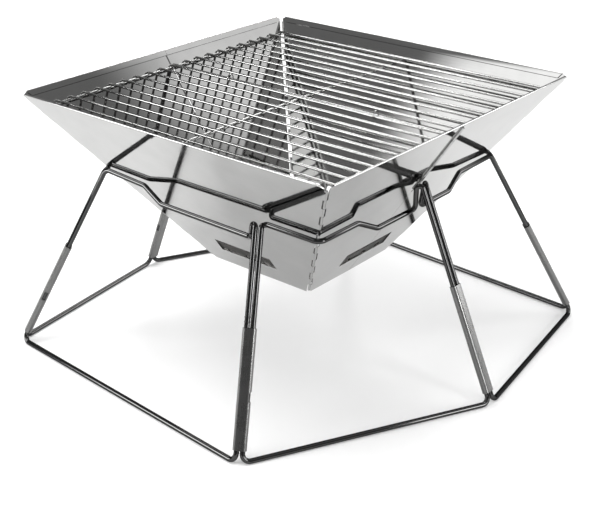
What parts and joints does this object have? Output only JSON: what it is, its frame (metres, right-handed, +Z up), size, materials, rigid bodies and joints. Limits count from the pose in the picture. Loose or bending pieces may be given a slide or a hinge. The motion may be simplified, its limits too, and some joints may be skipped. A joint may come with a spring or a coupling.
{
  "type": "folding fire basket",
  "caption": "Folding stainless fire basket: a square funnel of hinged sheet with a lift-off grate, standing in a ring of folding wire legs.",
  "frame": {"origin": "on the ground under the middle of the bowl", "axes": "+X runs along the fixed walls' rim, from the left legs to the right leg; +Y points to the back wall; +Z is up"},
  "size_m": [0.5668, 0.5444, 0.3198],
  "materials": {
    "brushed_sheet": "polished sheet with a fine brushed grain",
    "polished_wire": "bright polished rod",
    "satin_sleeve": "satin tube",
    "plated_grate": "bright plated wire",
    "coal_pan_steel": "dull pierced sheet",
    "hinge_pin_steel": "plain drawn wire"
  },
  "bodies": {
    "front_loop": {"front_loop": "polished_wire"},
    "front_sleeve": {"front_sleeve": "satin_sleeve"},
    "right_near_loop": {"right_near_loop": "polished_wire"},
    "right_sleeve": {"right_sleeve": "satin_sleeve"},
    "right_far_loop": {"right_far_loop": "polished_wire"},
    "far_right_sleeve": {"far_right_sleeve": "satin_sleeve"},
    "back_loop": {"back_loop": "polished_wire"},
    "back_sleeve": {"back_sleeve": "satin_sleeve"},
    "left_sleeve": {"left_sleeve": "satin_sleeve"},
    "left_near_loop": {"left_near_loop": "polished_wire"},
    "far_left_sleeve": {"far_left_sleeve": "satin_sleeve"},
    "left_far_loop": {"left_far_loop": "polished_wire"},
    "front_wall": {"front_wall": "brushed_sheet", "front_corner_pin": "hinge_pin_steel", "left_corner_pin": "hinge_pin_steel"},
    "right_wall_near": {"right_wall_near": "brushed_sheet", "right_crease_pin": "hinge_pin_steel"},
    "right_wall_far": {"right_wall_far": "brushed_sheet"},
    "back_wall": {"back_wall": "brushed_sheet", "far_corner_pin": "hinge_pin_steel"},
    "left_wall_near": {"left_wall_near": "brushed_sheet", "left_crease_pin": "hinge_pin_steel"},
    "left_wall_far": {"left_wall_far": "brushed_sheet"},
    "grate_front": {"grate_front_half": "plated_grate", "left_grate_ring": "plated_grate", "right_grate_ring": "plated_grate"},
    "grate_back": {"grate_back_half": "plated_grate"},
    "coal_pan": {"coal_pan": "coal_pan_steel"}
  },
  "joints": [
    {"name": "frame_fold", "type": "hinge", "parent": "front_loop", "child": "front_sleeve", "pos_m": [0.11256, -0.22149, 0.119], "axis": [-0.1973, 0.3758, 0.9055], "range_deg": [0, 40.77]},
    {"name": "front_leg_turn", "type": "hinge", "parent": "front_sleeve", "child": "right_near_loop", "pos_m": [0.1184, -0.21842, 0.119], "axis": [-0.1973, 0.3758, 0.9055], "range_deg": [0, 40.77]},
    {"name": "right_leg_turn", "type": "hinge", "parent": "right_near_loop", "child": "right_sleeve", "pos_m": [0.23083, -0.00531, 0.119], "axis": [0.3993, -0.0035, -0.9168], "range_deg": [0, 83.07]},
    {"name": "right_leg_turn_2", "type": "hinge", "parent": "right_sleeve", "child": "right_far_loop", "pos_m": [0.23088, 0.00129, 0.119], "axis": [0.3993, -0.0035, -0.9168], "range_deg": [0, 83.07]},
    {"name": "far_right_leg_turn", "type": "hinge", "parent": "right_far_loop", "child": "far_right_sleeve", "pos_m": [0.20258, 0.20073, 0.119], "axis": [-0.3327, -0.3374, 0.8806], "range_deg": [0, 46.56]},
    {"name": "far_right_leg_turn_2", "type": "hinge", "parent": "far_right_sleeve", "child": "back_loop", "pos_m": [0.19788, 0.20537, 0.119], "axis": [-0.3327, -0.3374, 0.8806], "range_deg": [0, 46.56]},
    {"name": "back_leg_turn", "type": "hinge", "parent": "back_loop", "child": "back_sleeve", "pos_m": [-0.11256, 0.22149, 0.119], "axis": [0.1973, -0.3758, 0.9055], "range_deg": [0, 40.77]},
    {"name": "left_leg_turn", "type": "hinge", "parent": "front_loop", "child": "left_sleeve", "pos_m": [-0.19788, -0.20537, 0.119], "axis": [-0.3327, -0.3374, -0.8806], "range_deg": [0, 44.38]},
    {"name": "left_leg_turn_2", "type": "hinge", "parent": "left_sleeve", "child": "left_near_loop", "pos_m": [-0.20258, -0.20073, 0.119], "axis": [-0.3327, -0.3374, -0.8806], "range_deg": [0, 44.38]},
    {"name": "far_left_leg_turn", "type": "hinge", "parent": "left_near_loop", "child": "far_left_sleeve", "pos_m": [-0.23088, -0.00129, 0.119], "axis": [0.3993, -0.0035, 0.9168], "range_deg": [0, 80.37]},
    {"name": "far_left_leg_turn_2", "type": "hinge", "parent": "far_left_sleeve", "child": "left_far_loop", "pos_m": [-0.23083, 0.00531, 0.119], "axis": [0.3993, -0.0035, 0.9168], "range_deg": [0, 80.37]},
    {"name": "bowl_lift", "type": "slide", "parent": "front_loop", "child": "front_wall", "axis": [0, 0, 1], "range_m": [0, 0.6]},
    {"name": "bowl_fold", "type": "hinge", "parent": "right_wall_near", "child": "right_wall_far", "pos_m": [0.22607, 0, 0.31826], "axis": [-0.5717, 0, -0.8204], "range_deg": [0, 158]},
    {"name": "front_corner_turn", "type": "hinge", "parent": "front_wall", "child": "right_wall_near", "pos_m": [0.22342, -0.22342, 0.319], "axis": [0.4963, -0.4963, 0.7122], "range_deg": [0, 92.13]},
    {"name": "far_corner_turn", "type": "hinge", "parent": "right_wall_far", "child": "back_wall", "pos_m": [0.22342, 0.22342, 0.319], "axis": [0.4963, 0.4963, 0.7122], "range_deg": [0, 92.13]},
    {"name": "left_corner_turn", "type": "hinge", "parent": "front_wall", "child": "left_wall_near", "pos_m": [-0.22342, -0.22342, 0.319], "axis": [0.4963, 0.4963, -0.7122], "range_deg": [0, 96.28]},
    {"name": "left_wall_turn", "type": "hinge", "parent": "left_wall_near", "child": "left_wall_far", "pos_m": [-0.22607, 0, 0.31826], "axis": [-0.5717, 0, 0.8204], "range_deg": [0, 158.01]},
    {"name": "grate_lift", "type": "slide", "parent": "front_wall", "child": "grate_front", "axis": [0, 0, 1], "range_m": [0, 0.9001]},
    {"name": "coal_pan_lift", "type": "slide", "parent": "front_wall", "child": "coal_pan", "axis": [0, 0, 1], "range_m": [0, 0.9001]},
    {"name": "grate_fold", "type": "hinge", "parent": "grate_front", "child": "grate_back", "pos_m": [0, 0, 0.30465], "axis": [1, 0, 0], "range_deg": [0, 172]}
  ],
  "couplings": [
    {"joint": "frame_fold", "follows": "bowl_lift", "rad_per_m": 1.1855},
    {"joint": "front_leg_turn", "follows": "bowl_lift", "rad_per_m": 1.1855},
    {"joint": "right_leg_turn", "follows": "bowl_lift", "rad_per_m": 2.4161},
    {"joint": "right_leg_turn_2", "follows": "bowl_lift", "rad_per_m": 2.4161},
    {"joint": "far_right_leg_turn", "follows": "bowl_lift", "rad_per_m": 1.3539},
    {"joint": "far_right_leg_turn_2", "follows": "bowl_lift", "rad_per_m": 1.3539},
    {"joint": "back_leg_turn", "follows": "bowl_lift", "rad_per_m": 1.1855},
    {"joint": "left_leg_turn", "follows": "bowl_lift", "rad_per_m": 1.2905},
    {"joint": "left_leg_turn_2", "follows": "bowl_lift", "rad_per_m": 1.2905},
    {"joint": "far_left_leg_turn", "follows": "bowl_lift", "rad_per_m": 2.3373},
    {"joint": "far_left_leg_turn_2", "follows": "bowl_lift", "rad_per_m": 2.3373},
    {"joint": "front_corner_turn", "follows": "bowl_fold", "ratio": 0.583},
    {"joint": "far_corner_turn", "follows": "bowl_fold", "ratio": 0.583},
    {"joint": "left_corner_turn", "follows": "bowl_fold", "ratio": 0.6093},
    {"joint": "left_wall_turn", "follows": "bowl_fold", "ratio": 1},
    {"joint": "grate_lift", "follows": "bowl_fold", "m_per_rad": 0.32637},
    {"joint": "coal_pan_lift", "follows": "bowl_fold", "m_per_rad": 0.32637}
  ]
}
